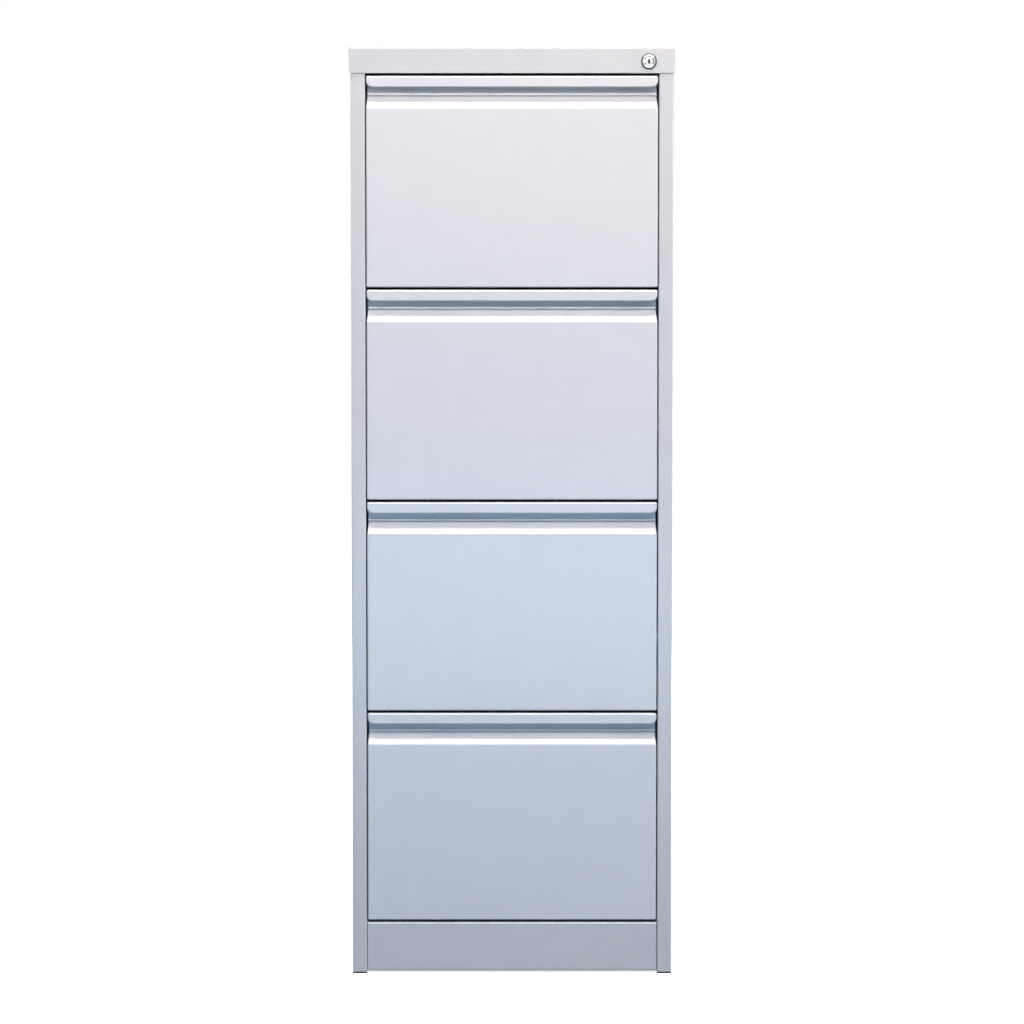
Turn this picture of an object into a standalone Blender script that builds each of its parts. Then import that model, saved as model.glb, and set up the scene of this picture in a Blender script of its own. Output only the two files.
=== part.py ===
"""Four-drawer filing cabinet in folded sheet steel, modelled as an assembly of separate pieces.

Frame: metres, +Z up, and the drawers open towards -Y. The origin is on the floor under the middle
of the cabinet's box. Folded pieces are drawn as a section, which is the show face of the sheet,
and are drawn out along the third axis. Drawer 1 is the top one.
"""

import math

import bmesh
import bpy
from mathutils import Matrix, Vector

MM = 0.001

# Driving dimensions
WIDTH = 460 * MM  # over the top cap
DEPTH = 620 * MM  # from the lock's face to the back of the top cap
HEIGHT = 1320 * MM
DRAWERS = 4
PITCH = 301.5 * MM  # from one drawer front to the next
GAP = 3.5 * MM  # above each drawer front
SHEET = 0.8 * MM  # cabinet and drawer panels
RAIL_SHEET = 1.2 * MM  # uprights and slides
BEND = 1.2 * MM  # inner radius of an ordinary fold
BEND_STEPS = 3
SOFT_STEPS = 6  # on the rounds that show at the front
FIT = 0.4 * MM  # between pieces that are fastened to each other

# Carcass
LOCK_PROUD = 2.5 * MM
CAP_PROUD = 1.5 * MM
CAP_FACE = -DEPTH / 2 + LOCK_PROUD
FACE = CAP_FACE + CAP_PROUD  # plane of the stiles and of the drawer fronts
BACK = DEPTH / 2 - 2 * MM
CAP_APRON = 36.5 * MM
CAP_RETURN = 11 * MM
BODY_SIDE = WIDTH / 2 - 2 * MM  # outer face of a side panel
OPENING_SIDE = BODY_SIDE - 20.5 * MM  # inner face of a stile
STILE_DEPTH = 22 * MM
STILE_LIP = 7.5 * MM
REAR_FLANGE = 16 * MM
BODY_BOTTOM = 2.5 * MM
BODY_TOP = HEIGHT - SHEET - 0.5 * MM
FRONT_TOP = HEIGHT - CAP_APRON - GAP  # top of drawer 1
PLINTH_TOP = FRONT_TOP - DRAWERS * PITCH
PLINTH_BOTTOM = 4 * MM
UPRIGHT_WIDTH = 36 * MM
FRONT_UPRIGHT = FACE + 35 * MM
REAR_UPRIGHT = BACK - 72 * MM
UPRIGHT_TOP = FRONT_TOP
GLIDE = 2.2 * MM  # thickness of the pad under a corner

# Drawer, measured from the bottom of its front face
FRONT_HEIGHT = PITCH - GAP
FRONT_SIDE = OPENING_SIDE - 1.5 * MM
RECESS_SIDE = FRONT_SIDE - 2.5 * MM
PULL_DEPTH = 15 * MM
PULL_LIP = 16.2 * MM
PULL_LEG = 26.4 * MM
LIP_RETURN = 3.5 * MM
LIP_CORNER = 8.5 * MM
ROLL = 43.5 * MM  # from the drawer's top down to where slope and face would meet
ROLL_RADIUS = 9 * MM
COVE_RADIUS = 5 * MM
FRONT_RETURN = 19 * MM
INNER_PANEL = 22 * MM  # rear face of the panel that closes the front's back
TRAY_SIDE = OPENING_SIDE - 12.8 * MM
TRAY_BOTTOM = 10 * MM
TRAY_TOP = 258 * MM
TRAY_BACK = 558 * MM
HANG_RAIL = 7.7 * MM
HANG_LIP = 9 * MM

# Slides: half height of each section, and its web and open edge measured from the opening's side
SLIDE_HEIGHT = 60 * MM  # of the slide's middle above the drawer front's bottom
CABINET_RAIL = {"half": 22.6 * MM, "web": 0.4 * MM, "edge": 10.5 * MM}
MIDDLE_RAIL = {"half": 16.6 * MM, "web": 3.1 * MM, "edge": 10.3 * MM}
DRAWER_RAIL = {"half": 11.0 * MM, "web": 12.4 * MM, "edge": 6.0 * MM}
CABINET_RAIL_ENDS = (35.5 * MM, 585.5 * MM)  # behind the drawer's face
MIDDLE_RAIL_ENDS = (36.5 * MM, 576.0 * MM)
DRAWER_RAIL_ENDS = (37.0 * MM, 556.0 * MM)

# Lock
LOCK_X = 193 * MM
LOCK_Z = HEIGHT - 20 * MM
LOCK_SEGMENTS = 32
PLUG_RADIUS = 6 * MM
BARREL_RADIUS = 9.5 * MM
BEZEL_RADIUS = 11.2 * MM
BARREL_END = FACE + 22.6 * MM
CAM_FRONT = FACE + 23.1 * MM
CAM_SHEET = 1.6 * MM
CAM_THROW = 8 * MM
PIN_RADIUS = 2 * MM
BAR_FRONT = FACE + 27 * MM
BAR_SHEET = 2 * MM
BAR_LIFT = CAM_THROW * math.sqrt(2)  # from a quarter turn that starts 45 degrees below level
CATCH_HEIGHT = 110 * MM  # above the drawer front's bottom
CATCH_SIZE = 10 * MM
TAB_CLEARANCE = 2.0 * MM  # between tab and catch when unlocked

PAINT = ("paint_grey", (0.60, 0.61, 0.64, 1.0), 0.35, 0.0)
ZINC = ("zinc_plate", (0.62, 0.63, 0.64, 1.0), 0.32, 1.0)
CHROME = ("chrome", (0.85, 0.85, 0.86, 1.0), 0.08, 1.0)
BLACK_PLASTIC = ("black_plastic", (0.02, 0.02, 0.02, 1.0), 0.55, 0.0)


def material(finish):
    """The Principled material of a finish, made once."""
    name, colour, roughness, metallic = finish
    made = bpy.data.materials.get(name)
    if made is None:
        made = bpy.data.materials.new(name)
        made.use_nodes = True
        shader = made.node_tree.nodes["Principled BSDF"]
        shader.inputs["Base Color"].default_value = colour
        shader.inputs["Roughness"].default_value = roughness
        shader.inputs["Metallic"].default_value = metallic
    return made


def left_of(heading):
    return Vector((-heading.y, heading.x))


def turned_by(heading, angle):
    return Matrix.Rotation(angle, 2) @ heading


def folded_sheet(path, radii, thickness=SHEET, steps=BEND_STEPS):
    """Closed outline of a folded sheet. The path is one face of it and the sheet lies to the left.
    Each corner between the ends takes the radius given for it, on the tight side of the fold."""
    points = [Vector(point) for point in path]
    near = []
    far = []

    def add(point, heading):
        near.append(point)
        far.append(point + left_of(heading) * thickness)

    add(points[0], (points[1] - points[0]).normalized())
    for before, corner, after, tight in zip(points, points[1:], points[2:], radii):
        coming = (corner - before).normalized()
        going = (after - corner).normalized()
        turn = math.atan2(coming.cross(going), coming.dot(going))
        side = math.copysign(1, turn)
        radius = tight + thickness if turn > 0 else tight
        start = corner - coming * radius * math.tan(abs(turn) / 2)
        centre = start + left_of(coming) * radius * side
        for step in range(steps + 1):
            heading = turned_by(coming, turn * step / steps)
            add(centre - left_of(heading) * radius * side, heading)
    add(points[-1], (points[-1] - points[-2]).normalized())
    return near + far[::-1]


def mirrored(outline):
    """The outline on the other side of the cabinet."""
    return [(-x, other) for x, other in outline]


def rectangle(low, high):
    return [low, (high[0], low[1]), high, (low[0], high[1])]


def arc(centre, radius, start, end, steps):
    """Points on a circle from one angle to another, in degrees."""
    angles = [math.radians(start + (end - start) * k / steps) for k in range(steps + 1)]
    return [
        (centre[0] + radius * math.cos(a), centre[1] + radius * math.sin(a)) for a in angles
    ]


def new_object(name, build, finish, parent=None):
    """An object from a bmesh, with its normals outward and its rounds shaded smooth."""
    bmesh.ops.recalc_face_normals(build, faces=build.faces)
    mesh = bpy.data.meshes.new(name)
    build.to_mesh(mesh)
    build.free()
    mesh.materials.append(material(finish))
    mesh.shade_smooth()
    mesh.set_sharp_from_angle(angle=math.radians(35))
    obj = bpy.data.objects.new(name, mesh)
    bpy.context.scene.collection.objects.link(obj)
    obj.parent = parent
    return obj


def place(axis, first, second, along):
    """A point from the two numbers of a section and the position along its axis."""
    return {
        "X": (along, first, second),
        "Y": (first, along, second),
        "Z": (first, second, along),
    }[axis]


def drawn_out(name, outline, axis, ends, finish=PAINT, parent=None):
    """A solid drawn out along an axis from a section in the other two axes."""
    build = bmesh.new()
    corners = [build.verts.new(place(axis, u, v, ends[0])) for u, v in outline]
    face = build.faces.new(corners)
    moved = bmesh.ops.extrude_face_region(build, geom=[face])["geom"]
    length = Vector(place(axis, 0, 0, ends[1] - ends[0]))
    new_corners = [item for item in moved if isinstance(item, bmesh.types.BMVert)]
    bmesh.ops.translate(build, verts=new_corners, vec=length)
    return new_object(name, build, finish, parent)


def spun(name, profile, finish, parent=None):
    """A solid turned about the Y axis from points of (radius, y)."""
    build = bmesh.new()
    points = [build.verts.new((radius, y, 0)) for radius, y in profile]
    edges = [build.edges.new(pair) for pair in zip(points, points[1:])]
    if profile[0][0] > 0:
        edges.append(build.edges.new((points[-1], points[0])))
    bmesh.ops.spin(
        build,
        geom=points + edges,
        cent=(0, 0, 0),
        axis=(0, 1, 0),
        angle=math.tau,
        steps=LOCK_SEGMENTS,
        use_merge=True,
    )
    bmesh.ops.remove_doubles(build, verts=build.verts, dist=0.001 * MM)
    return new_object(name, build, finish, parent)


def combined(obj, other, operation):
    """obj after other has been joined to it or cut from it, as one body."""
    other.parent = obj.parent
    modifier = obj.modifiers.new("combine", "BOOLEAN")
    modifier.operation = operation
    modifier.object = other
    bpy.context.view_layer.update()
    graph = bpy.context.evaluated_depsgraph_get()
    mesh = bpy.data.meshes.new_from_object(obj.evaluated_get(graph))
    obj.modifiers.clear()
    obj.data = mesh
    bpy.data.objects.remove(other)
    return obj


def joined(obj, other):
    return combined(obj, other, "UNION")


def cut(obj, other):
    return combined(obj, other, "DIFFERENCE")


def frame_at(name, location, parent=None):
    """An empty that carries the pieces of one moving group."""
    empty = bpy.data.objects.new(name, None)
    empty.location = location
    empty.parent = parent
    bpy.context.scene.collection.objects.link(empty)
    return empty


def copy_of(obj, name, parent):
    """Another object with the same mesh, under another parent."""
    made = bpy.data.objects.new(name, obj.data)
    made.location = obj.location
    made.parent = parent
    bpy.context.scene.collection.objects.link(made)
    return made


# Carcass


def side_panel(name, side, parent):
    """Side sheet whose front edge is folded into a boxed stile and whose rear edge is a flange."""
    path = [
        (OPENING_SIDE + STILE_LIP, FACE + STILE_DEPTH),
        (OPENING_SIDE, FACE + STILE_DEPTH),
        (OPENING_SIDE, FACE),
        (BODY_SIDE, FACE),
        (BODY_SIDE, BACK),
        (BODY_SIDE - REAR_FLANGE, BACK),
    ]
    outline = folded_sheet(path, [BEND] * 4)
    if side < 0:
        outline = mirrored(outline)
    drawn_out(name, outline, "Z", (BODY_BOTTOM, BODY_TOP), parent=parent)


def back_panel(parent):
    """Flat sheet welded inside the rear flanges."""
    edge = BODY_SIDE - SHEET - 0.6 * MM
    rear = BACK - SHEET - FIT
    section = rectangle((-edge, rear - SHEET), (edge, rear))
    drawn_out("back_panel", section, "Z", (40 * MM, BODY_TOP - FIT), parent=parent)


def base_pan(parent):
    """Cabinet bottom with the plinth folded down at its front and a flange at its rear."""
    rear = BACK - 3 * MM
    plinth_face = FACE + 0.6 * MM
    path = [
        (rear, PLINTH_TOP - 18 * MM),
        (rear, PLINTH_TOP),
        (plinth_face, PLINTH_TOP),
        (plinth_face, PLINTH_BOTTOM),
        (plinth_face + 16 * MM, PLINTH_BOTTOM),
    ]
    half = OPENING_SIDE - 2 * FIT
    drawn_out("base_pan", folded_sheet(path, [BEND] * 3), "X", (-half, half), parent=parent)


def rounded_box(name, low, high, radius, parent):
    """A box whose upright edges and top edges are rounded, as on a drawn lid."""
    build = bmesh.new()
    size = Vector(high) - Vector(low)
    middle = (Vector(high) + Vector(low)) / 2
    matrix = Matrix.Translation(middle) @ Matrix.Diagonal((*size, 1))
    bmesh.ops.create_cube(build, size=1, matrix=matrix)
    top = high[2] - radius
    round_edges = [
        edge for edge in build.edges if max(vert.co.z for vert in edge.verts) > top
    ]
    bmesh.ops.bevel(
        build,
        geom=round_edges,
        offset=radius,
        segments=BEND_STEPS,
        profile=0.5,
        affect="EDGES",
    )
    return new_object(name, build, PAINT, parent)


def top_cap(parent):
    """Lid over the body, with an apron all round, a return under its front and the lock's hole."""
    half = WIDTH / 2
    low = (-half, CAP_FACE, HEIGHT - CAP_APRON)
    cap = rounded_box("top_cap", low, (half, DEPTH / 2, HEIGHT), BEND + SHEET, parent)
    inner = half - SHEET
    hollow = rounded_box(
        "cap_hollow",
        (-inner, CAP_FACE + SHEET, HEIGHT - CAP_APRON - 5 * MM),
        (inner, DEPTH / 2 - SHEET, HEIGHT - SHEET),
        BEND,
        parent,
    )
    cut(cap, hollow)
    shelf = OPENING_SIDE - 1 * MM
    underside = HEIGHT - CAP_APRON
    section = [
        (CAP_FACE + 0.4 * SHEET, underside + 0.1 * MM),
        (CAP_FACE + CAP_RETURN, underside + 0.1 * MM),
        (CAP_FACE + CAP_RETURN, underside + 0.1 * MM + SHEET),
        (CAP_FACE + 0.4 * SHEET, underside + 0.1 * MM + SHEET),
    ]
    joined(cap, drawn_out("cap_return", section, "X", (-shelf, shelf), parent=parent))
    hole = arc((LOCK_X, LOCK_Z), BARREL_RADIUS + FIT, 0, 360, LOCK_SEGMENTS)[:-1]
    cut(cap, drawn_out("lock_hole", hole, "Y", (CAP_FACE - 5 * MM, FACE + 5 * MM), parent=parent))


def upright(name, side, front, parent):
    """Channel inside a side panel that the slides are fixed to."""
    rear = front + UPRIGHT_WIDTH
    outer = BODY_SIDE - SHEET - 0.6 * MM
    path = [(outer, rear), (OPENING_SIDE, rear), (OPENING_SIDE, front), (outer, front)]
    outline = folded_sheet(path, [BEND] * 2, RAIL_SHEET)
    if side < 0:
        outline = mirrored(outline)
    drawn_out(name, outline, "Z", (PLINTH_BOTTOM, UPRIGHT_TOP), parent=parent)


def glide(name, side, corner, inward, parent):
    """Plastic shoe under a corner of the body, with a block that plugs into the fold above it."""
    inner = OPENING_SIDE + 0.3 * MM
    outer = BODY_SIDE - 0.2 * MM
    pad_ends = sorted((corner + inward * 0.2 * MM, corner + inward * 45 * MM))
    plug_ends = sorted((corner + inward * 2 * MM, corner + inward * 18.6 * MM))
    pad = rectangle((inner, pad_ends[0]), (outer, pad_ends[1]))
    plug = rectangle((inner + 1.8 * MM, plug_ends[0]), (outer - 1.8 * MM, plug_ends[1]))
    if side < 0:
        pad = mirrored(pad)
        plug = mirrored(plug)
    shoe = drawn_out(name, pad, "Z", (0, GLIDE), BLACK_PLASTIC, parent)
    raised = (0.5 * GLIDE, GLIDE + 9 * MM)
    joined(shoe, drawn_out("plug", plug, "Z", raised, BLACK_PLASTIC, parent))


# Drawer


def drawer_front(parent):
    """Outer skin of a drawer: face, rolled edge, slope and leg behind the pull, with side returns."""
    height = FRONT_HEIGHT
    leg = PULL_DEPTH + FIT
    path = [
        (leg, height - 5 * MM),
        (leg, height - ROLL + leg),
        (0, height - ROLL),
        (0, 0),
        (FRONT_RETURN, 0),
    ]
    outline = folded_sheet(path, [COVE_RADIUS, ROLL_RADIUS - SHEET, BEND], steps=SOFT_STEPS)
    front = drawn_out("front", outline, "X", (-FRONT_SIDE, FRONT_SIDE), parent=parent)
    for side in (-1, 1):
        outer = side * (FRONT_SIDE - 0.05 * MM)
        inner = outer - side * SHEET
        flange = rectangle((0.5 * SHEET, 0.5 * SHEET), (FRONT_RETURN, height - 50 * MM))
        ends = sorted((inner, outer))
        joined(front, drawn_out("side_return", flange, "X", ends, parent=parent))
        narrowing = [
            (side * RECESS_SIDE, height + 1 * MM),
            (side * RECESS_SIDE, height - 33 * MM),
            (side * (FRONT_SIDE + 0.2 * MM), height - 47 * MM),
            (side * (FRONT_SIDE + 1 * MM), height - 47 * MM),
            (side * (FRONT_SIDE + 1 * MM), height + 1 * MM),
        ]
        cut(front, drawn_out("narrowing", narrowing, "Y", (-1 * MM, 21 * MM), parent=parent))
    return front


def drawer_pull(parent):
    """Channel along the drawer's top. Its front leg is the lip that the fingers hook behind."""
    top = FRONT_HEIGHT
    path = [
        (PULL_DEPTH, top - PULL_LEG),
        (PULL_DEPTH, top),
        (0, top),
        (0, top - PULL_LIP),
        (LIP_RETURN, top - PULL_LIP),
    ]
    outline = folded_sheet(path, [BEND, 1.7 * MM, BEND], steps=BEND_STEPS)
    pull = drawn_out("pull", outline, "X", (-FRONT_SIDE, FRONT_SIDE), parent=parent)
    for side in (-1, 1):
        centre = (FRONT_SIDE - LIP_CORNER, top - PULL_LIP + LIP_CORNER)
        round_corner = arc(centre, LIP_CORNER, 0, -90, SOFT_STEPS)
        beyond = [
            (centre[0], top - PULL_LIP - 1 * MM),
            (FRONT_SIDE + 1 * MM, top - PULL_LIP - 1 * MM),
            (FRONT_SIDE + 1 * MM, centre[1]),
        ]
        corner = round_corner + beyond
        leg = rectangle(
            (RECESS_SIDE, top - PULL_LEG - 1 * MM), (FRONT_SIDE + 1 * MM, top - 3 * MM)
        )
        if side < 0:
            corner = mirrored(corner)
            leg = mirrored(leg)
        cut(pull, drawn_out("corner", corner, "Y", (-1 * MM, 6 * MM), parent=parent))
        cut(pull, drawn_out("leg_end", leg, "Y", (12 * MM, 16 * MM), parent=parent))
    return pull


def inner_panel(parent):
    """Sheet that closes the back of the drawer front."""
    edge = FRONT_SIDE - 1.3 * MM
    fold = INNER_PANEL - 5 * MM
    path = [(edge, fold), (edge, INNER_PANEL), (-edge, INNER_PANEL), (-edge, fold)]
    outline = folded_sheet(path, [BEND] * 2)
    ends = (1.3 * MM, FRONT_HEIGHT - 8 * MM)
    return drawn_out("inner_panel", outline, "Z", ends, parent=parent)


def tray(parent):
    """Bottom and sides of a drawer, rolled inward along the top to carry hanging files, and its back."""
    rail = TRAY_SIDE - HANG_RAIL
    path = [
        (-rail, TRAY_TOP - HANG_LIP),
        (-rail, TRAY_TOP),
        (-TRAY_SIDE, TRAY_TOP),
        (-TRAY_SIDE, TRAY_BOTTOM),
        (TRAY_SIDE, TRAY_BOTTOM),
        (TRAY_SIDE, TRAY_TOP),
        (rail, TRAY_TOP),
        (rail, TRAY_TOP - HANG_LIP),
    ]
    outline = folded_sheet(path, [BEND] * 6)
    ends = (INNER_PANEL + FIT, TRAY_BACK)
    body = drawn_out("tray", outline, "Y", ends, parent=parent)
    half = TRAY_SIDE - 0.5 * SHEET
    wall = rectangle((-half, TRAY_BOTTOM + 0.5 * SHEET), (half, TRAY_TOP - 12 * MM))
    rear = (TRAY_BACK - 1.6 * MM, TRAY_BACK - 0.8 * MM)
    return joined(body, drawn_out("tray_back", wall, "Y", rear, parent=parent))


def lock_catch(parent):
    """Angle on the tray's right side that the lock bar's tab stands in front of when locked."""
    foot = TRAY_SIDE + FIT
    front = BAR_FRONT - FACE + BAR_SHEET + 1.2 * MM
    path = [(foot, front + 16 * MM), (foot, front), (foot + 8 * MM, front)]
    outline = folded_sheet(path, [0.5 * MM], BAR_SHEET)
    ends = (CATCH_HEIGHT, CATCH_HEIGHT + CATCH_SIZE)
    return drawn_out("lock_catch", outline, "Z", ends, ZINC, parent)


def slide_rail(name, rail, ends, side, parent):
    """One member of a telescopic slide: a channel with its web at one side and open at the other."""
    web = OPENING_SIDE - rail["web"]
    edge = OPENING_SIDE - rail["edge"]
    half = rail["half"]
    path = [(edge, -half), (web, -half), (web, half), (edge, half)]
    if web < edge:
        path.reverse()
    outline = folded_sheet(path, [BEND] * 2, RAIL_SHEET)
    if side < 0:
        outline = mirrored(outline)
    made = drawn_out(name, outline, "Y", ends, ZINC, parent)
    made.location.z = SLIDE_HEIGHT
    return made


def drawers(cabinet):
    """Each drawer's own pieces, with its slides, under empties at its front's lower edge."""
    first = {}
    makers = {
        "front": drawer_front,
        "pull": drawer_pull,
        "inner_panel": inner_panel,
        "tray": tray,
        "lock_catch": lock_catch,
    }
    rails = {
        "cabinet_rail": (CABINET_RAIL, CABINET_RAIL_ENDS),
        "middle_rail": (MIDDLE_RAIL, MIDDLE_RAIL_ENDS),
        "drawer_rail": (DRAWER_RAIL, DRAWER_RAIL_ENDS),
    }
    for number in range(1, DRAWERS + 1):
        base = FRONT_TOP - (number - 1) * PITCH - FRONT_HEIGHT
        drawer = frame_at(f"drawer_{number}_frame", (0, FACE, base), cabinet)
        middle = frame_at(f"drawer_{number}_middle_frame", (0, FACE, base), cabinet)
        fixed = frame_at(f"drawer_{number}_fixed_frame", (0, FACE, base), cabinet)
        parents = {"cabinet_rail": fixed, "middle_rail": middle, "drawer_rail": drawer}
        for piece, make in makers.items():
            name = f"drawer_{number}_{piece}"
            if piece in first:
                copy_of(first[piece], name, drawer)
            else:
                first[piece] = make(drawer)
                first[piece].name = name
        for piece, (rail, ends) in rails.items():
            for side, word in ((-1, "left"), (1, "right")):
                name = f"drawer_{number}_{piece}_{word}"
                if (piece, word) in first:
                    copy_of(first[piece, word], name, parents[piece])
                else:
                    made = slide_rail(name, rail, ends, side, parents[piece])
                    first[piece, word] = made


# Lock


def lock_housing(lock):
    """Barrel through the cap's apron, with a bezel in front and a bore for the cylinder."""
    bore = PLUG_RADIUS + 0.35 * MM
    nose = -DEPTH / 2
    seat = CAP_FACE - 0.3 * MM
    profile = [
        (bore, nose + 0.6 * MM),
        (bore + 0.6 * MM, nose),
        (BEZEL_RADIUS - 0.8 * MM, nose),
        (BEZEL_RADIUS, nose + 0.8 * MM),
        (BEZEL_RADIUS, seat),
        (BARREL_RADIUS, seat),
        (BARREL_RADIUS, BARREL_END),
        (bore, BARREL_END),
    ]
    spun("lock_housing", profile, CHROME, lock)


def lock_cylinder(lock):
    """Key plug with a slot for the key, and at its rear the cam whose pin lifts the lock bar."""
    nose = -DEPTH / 2 + 0.6 * MM
    cam_rear = CAM_FRONT + CAM_SHEET
    profile = [
        (0, nose),
        (PLUG_RADIUS - 0.4 * MM, nose),
        (PLUG_RADIUS, nose + 0.4 * MM),
        (PLUG_RADIUS, CAM_FRONT + 0.5 * CAM_SHEET),
        (0, CAM_FRONT + 0.5 * CAM_SHEET),
    ]
    plug = spun("lock_cylinder", profile, CHROME, lock)
    offset = -CAM_THROW / math.sqrt(2)
    cam = arc((0, 0), 5 * MM, -45, 135, 8) + arc((offset, offset), 4 * MM, 135, 315, 8)
    joined(plug, drawn_out("cam", cam, "Y", (CAM_FRONT, cam_rear), parent=lock))
    pin = arc((offset, offset), PIN_RADIUS, 0, 360, 16)[:-1]
    pin_ends = (CAM_FRONT + 0.5 * CAM_SHEET, BAR_FRONT + BAR_SHEET + 1.5 * MM)
    joined(plug, drawn_out("pin", pin, "Y", pin_ends, parent=lock))
    keyway = rectangle((-0.9 * MM, -3.6 * MM), (0.9 * MM, 3.6 * MM))
    cut(plug, drawn_out("keyway", keyway, "Y", (nose - 5 * MM, nose + 7 * MM), parent=lock))


def lock_bar(parent):
    """Flat bar in the right-hand side with an arm to the cam and a tab for each drawer's catch."""
    left = OPENING_SIDE + 2.5 * MM
    right = left + 12 * MM
    tab_end = OPENING_SIDE - 9 * MM
    arm_end = LOCK_X - 15 * MM
    pin_z = LOCK_Z - CAM_THROW / math.sqrt(2)
    arm_bottom = pin_z - 7 * MM
    arm_top = pin_z + 7 * MM
    tab_tops = [
        FRONT_TOP - k * PITCH - FRONT_HEIGHT + CATCH_HEIGHT - TAB_CLEARANCE
        for k in range(DRAWERS)
    ]
    tab_height = BAR_LIFT - TAB_CLEARANCE + 0.3 * MM
    bottom = tab_tops[-1] - tab_height - 10 * MM
    outline = [
        (left, bottom),
        (right, bottom),
        (right, arm_top),
        (arm_end, arm_top),
        (arm_end, arm_bottom),
        (left, arm_bottom),
    ]
    for tab_top in tab_tops:
        outline += [
            (left, tab_top),
            (tab_end, tab_top),
            (tab_end, tab_top - tab_height),
            (left, tab_top - tab_height),
        ]
    ends = (BAR_FRONT, BAR_FRONT + BAR_SHEET)
    bar = drawn_out("lock_bar", outline, "Y", ends, ZINC, parent)
    play = 0.6 * MM
    half = PIN_RADIUS + play
    far = LOCK_X - CAM_THROW
    near = LOCK_X - CAM_THROW / math.sqrt(2)
    slot = arc((near, pin_z), half, -90, 90, 8) + arc((far, pin_z), half, 90, 270, 8)
    slot_ends = (BAR_FRONT - 5 * MM, BAR_FRONT + 5 * MM)
    cut(bar, drawn_out("pin_slot", slot, "Y", slot_ends, parent=parent))


def main():
    for obj in list(bpy.data.objects):
        bpy.data.objects.remove(obj)
    cabinet = frame_at("cabinet_frame", (0, 0, 0))
    back_panel(cabinet)
    base_pan(cabinet)
    top_cap(cabinet)
    for side, word in ((-1, "left"), (1, "right")):
        side_panel(f"{word}_side_panel", side, cabinet)
        upright(f"front_{word}_upright", side, FRONT_UPRIGHT, cabinet)
        upright(f"rear_{word}_upright", side, REAR_UPRIGHT, cabinet)
        glide(f"front_{word}_glide", side, FACE, 1, cabinet)
        glide(f"rear_{word}_glide", side, BACK, -1, cabinet)
    drawers(cabinet)
    lock = frame_at("lock_frame", (LOCK_X, 0, LOCK_Z), cabinet)
    lock_housing(lock)
    lock_cylinder(lock)
    lock_bar(cabinet)


main()
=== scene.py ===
"""Looks of the four-drawer steel filing cabinet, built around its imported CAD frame.

Metres, +Z up, and the drawers open towards -Y. Sizes come from the frame's boxes. A drawer's pieces
are made once, with the origin at the bottom of its front face, and placed at each drawer.
"""

import math

import bmesh
import bpy
from mathutils import Matrix, Vector


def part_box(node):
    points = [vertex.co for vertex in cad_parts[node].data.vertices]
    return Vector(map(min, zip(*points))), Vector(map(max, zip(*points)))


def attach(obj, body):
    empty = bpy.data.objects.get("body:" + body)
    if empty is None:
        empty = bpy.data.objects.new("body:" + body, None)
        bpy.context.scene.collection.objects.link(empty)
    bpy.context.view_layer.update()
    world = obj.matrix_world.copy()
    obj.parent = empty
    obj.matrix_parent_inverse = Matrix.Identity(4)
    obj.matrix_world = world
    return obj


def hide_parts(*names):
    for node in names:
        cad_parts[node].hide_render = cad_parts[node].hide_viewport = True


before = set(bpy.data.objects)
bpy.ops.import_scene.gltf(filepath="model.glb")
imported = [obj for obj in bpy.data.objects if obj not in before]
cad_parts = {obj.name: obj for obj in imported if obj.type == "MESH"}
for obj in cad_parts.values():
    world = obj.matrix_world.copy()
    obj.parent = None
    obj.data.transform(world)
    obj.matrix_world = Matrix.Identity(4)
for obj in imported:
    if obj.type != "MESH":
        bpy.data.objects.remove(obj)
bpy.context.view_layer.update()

MM = 0.001
DRAWERS = (1, 2, 3, 4)
SIDES = ((-1, "left"), (1, "right"))

# Sheets, folds and gaps that the boxes don't say
SHEET = 0.8 * MM
RAIL_SHEET = 1.2 * MM
BEND = 1.2 * MM  # tight side of a fold
BEND_STEPS = 6
SOFT_STEPS = 12
CUT_EDGE = 0.18 * MM  # rounding that paint or plating gives a sheet's edge
CUT_ANGLE = math.radians(50)
SMOOTH_ANGLE = math.radians(32)

# CAD pieces, as (low, high) corners
FRONT_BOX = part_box("drawer_1_front")
PULL_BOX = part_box("drawer_1_pull")
PANEL_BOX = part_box("drawer_1_inner_panel")
TRAY_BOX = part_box("drawer_1_tray")
CAP_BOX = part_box("top_cap")
BODY_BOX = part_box("right_side_panel")
UPRIGHT_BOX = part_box("front_right_upright")
PAN_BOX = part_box("base_pan")
HOUSING_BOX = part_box("lock_housing")
CYLINDER_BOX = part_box("lock_cylinder")

# Drawer front and pull, in the drawer's own axes
FACE = FRONT_BOX[0].y
FRONT_SIDE = FRONT_BOX[1].x
FRONT_HEIGHT = PULL_BOX[1].z - FRONT_BOX[0].z
FRONT_RETURN = FRONT_BOX[1].y - FACE
PULL_DEPTH = PULL_BOX[1].y - FACE
SIDE_BEND = 2 * MM
RECESS_TAPER = (33 * MM, 47 * MM)  # below the drawer's top, where the recess widens to the face
LEG_Y = PULL_DEPTH + 0.4 * MM
RECESS_IN = 0.5 * MM  # the pull's leg stops this much short of the lip, beyond the lip's bend
ROLL_DROP = 43.5 * MM
ROLL_RADIUS = 9 * MM
COVE_RADIUS = 5 * MM
LIP_HEIGHT = 16.2 * MM
LIP_CORNER = 8.5 * MM
LIP_RETURN = 3.5 * MM
LIP_TOP_RADIUS = 2.5 * MM
HEM_SIZE = 3.6 * MM  # rolled edge at the bottom of the pull's leg
HEM_BOTTOM = 27.9 * MM  # below the drawer's top
WELD = 0.002 * MM  # points nearer than this are one

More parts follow.
